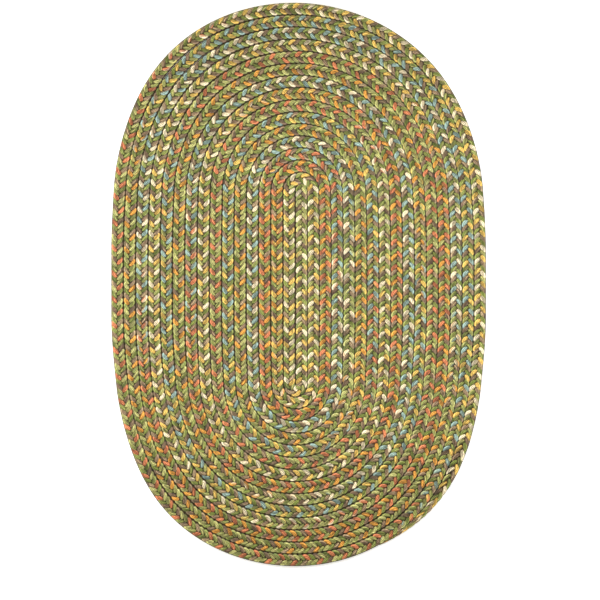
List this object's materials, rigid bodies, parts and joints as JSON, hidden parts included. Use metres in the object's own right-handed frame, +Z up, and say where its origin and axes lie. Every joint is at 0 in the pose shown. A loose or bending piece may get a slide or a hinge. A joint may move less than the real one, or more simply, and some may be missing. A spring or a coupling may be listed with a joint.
{
  "type": "oval braided rug",
  "caption": "Flat oval rug wound in a spiral from a plaited braid, with its rows raised as ribs on both faces and the end of the braid tapering away at the rim.",
  "frame": {"origin": "on the floor, under the middle of the rug's bounding box", "axes": "+Y along the rug's length, towards the end where the braid's centre row starts; +X across it; +Z up, out of the face that shows"},
  "size_m": [0.6076, 0.9138, 0.01],
  "materials": {
    "braided_yarn": "matte"
  },
  "bodies": {
    "root": {"braided_rug": "braided_yarn"}
  },
  "joints": []
}
